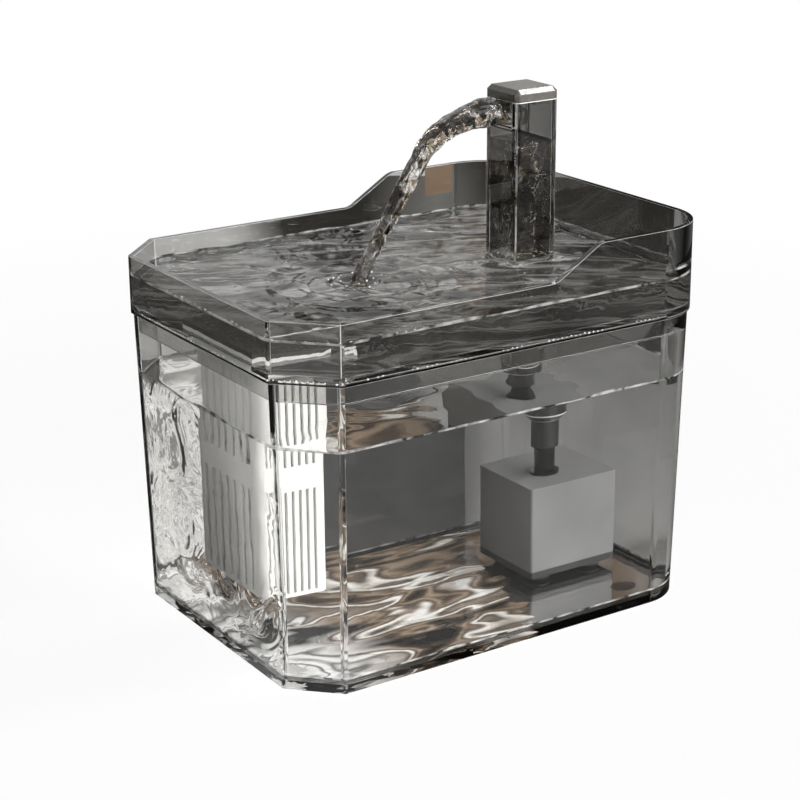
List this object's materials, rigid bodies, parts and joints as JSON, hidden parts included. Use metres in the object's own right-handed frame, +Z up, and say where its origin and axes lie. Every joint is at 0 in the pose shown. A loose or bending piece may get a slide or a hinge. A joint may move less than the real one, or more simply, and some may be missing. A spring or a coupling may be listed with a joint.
{
  "type": "pet water fountain",
  "caption": "Clear grey pet water fountain: tank, drinking tray with a raised rear wall, square spout column, slotted filter cage and cube pump.",
  "frame": {"origin": "centre of the body's outline on the surface it stands on", "axes": "+X towards the raised rear with the spout, -X towards the low drinking end, +Y across, +Z up"},
  "size_m": [0.2, 0.152, 0.212],
  "materials": {
    "smoky_clear": "polished clear grey",
    "clear_silicone": "soft clear",
    "cap_grey": "polished brownish grey",
    "black_silicone": "satin black",
    "cage_white": "matt white",
    "filter_fleece": "white fleece",
    "filter_sponge": "open sponge",
    "pump_grey": "satin grey",
    "pump_dark": "satin dark grey",
    "smoke_dark": "polished dark smoke",
    "impeller_white": "satin",
    "ferrite": "ground ferrite",
    "shaft_ceramic": "polished ceramic",
    "core_iron": "stamped sheets",
    "bobbin_plastic": "satin",
    "copper": "enamelled wire"
  },
  "bodies": {
    "base": {"tank": "smoky_clear", "tank_feet": "clear_silicone", "pump_body": "pump_grey", "pump_base": "pump_dark", "motor_can": "pump_dark", "outlet_tube": "smoke_dark", "rotor_shaft": "shaft_ceramic", "upper_bush": "black_silicone", "lower_bush": "black_silicone", "stator_core": "core_iron", "coil_bobbin": "bobbin_plastic", "stator_coil": "copper", "cable_gland": "black_silicone", "suction_feet": "black_silicone"},
    "drinking_tray": {"tray": "smoky_clear"},
    "spout": {"spout_column": "smoky_clear", "column_seal": "clear_silicone", "spout_ramp": "smoky_clear", "hose_coupler": "black_silicone"},
    "cap": {"spout_cap": "cap_grey"},
    "filter": {"filter_housing": "cage_white", "filter_pouch": "filter_fleece", "filter_foam": "filter_sponge"},
    "lid": {"filter_lid": "smoky_clear"},
    "rotor": {"impeller": "impeller_white", "rotor_magnet": "ferrite"}
  },
  "joints": [
    {"name": "tray_lift", "type": "slide", "parent": "base", "child": "drinking_tray", "axis": [0, 0, 1], "range_m": [0, 0.12]},
    {"name": "spout_lift", "type": "slide", "parent": "drinking_tray", "child": "spout", "axis": [0, 0, 1], "range_m": [0, 0.11]},
    {"name": "cap_lift", "type": "slide", "parent": "spout", "child": "cap", "axis": [0, 0, 1], "range_m": [0, 0.03]},
    {"name": "filter_lift", "type": "slide", "parent": "drinking_tray", "child": "filter", "axis": [0, 0, 1], "range_m": [0, 0.125]},
    {"name": "lid_lift", "type": "slide", "parent": "filter", "child": "lid", "axis": [0, 0, 1], "range_m": [0, 0.03]},
    {"name": "impeller_spin", "type": "hinge", "parent": "base", "child": "rotor", "pos_m": [0.0635, 0.015, 0.02], "axis": [0, 0, 1], "continuous": true}
  ]
}
